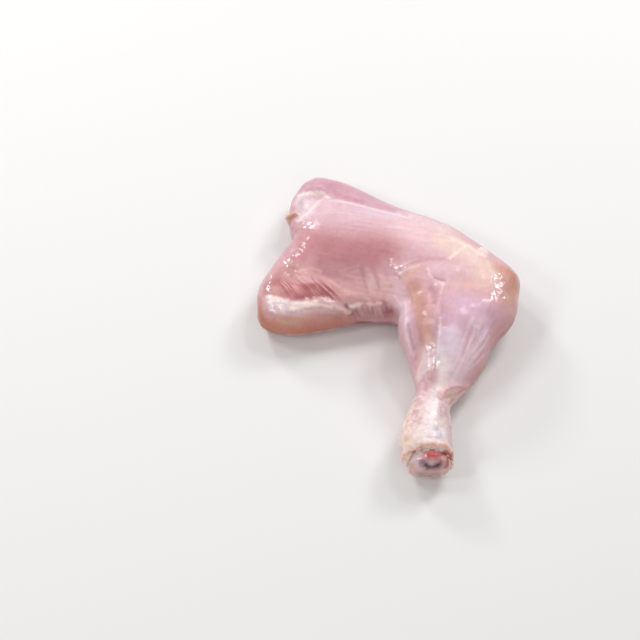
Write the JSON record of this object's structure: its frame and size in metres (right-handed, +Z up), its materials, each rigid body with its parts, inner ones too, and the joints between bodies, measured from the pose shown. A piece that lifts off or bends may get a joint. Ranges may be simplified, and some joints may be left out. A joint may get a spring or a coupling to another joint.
{
  "type": "raw whole chicken leg",
  "caption": "Raw whole chicken leg, skinned to the ankle: flat thigh bent at the knee into a tapering drumstick, with skin on the shank and the bone's knuckle showing at the cut.",
  "frame": {"origin": "middle of the bounding box's underside, on the surface that the leg rests on", "axes": "+Z up out of the surface that it rests on; +Y along the leg's longest extent, from the cut shank towards the hip; +X towards the knee"},
  "size_m": [0.138, 0.1824, 0.0359],
  "materials": {
    "meat": "moist raw meat under a thin clear membrane, soft gloss",
    "gristle": "moist pale gristle over bone, blood-stained at the cut"
  },
  "bodies": {
    "root": {"leg_meat": "meat", "shank_bone": "gristle"}
  },
  "joints": []
}
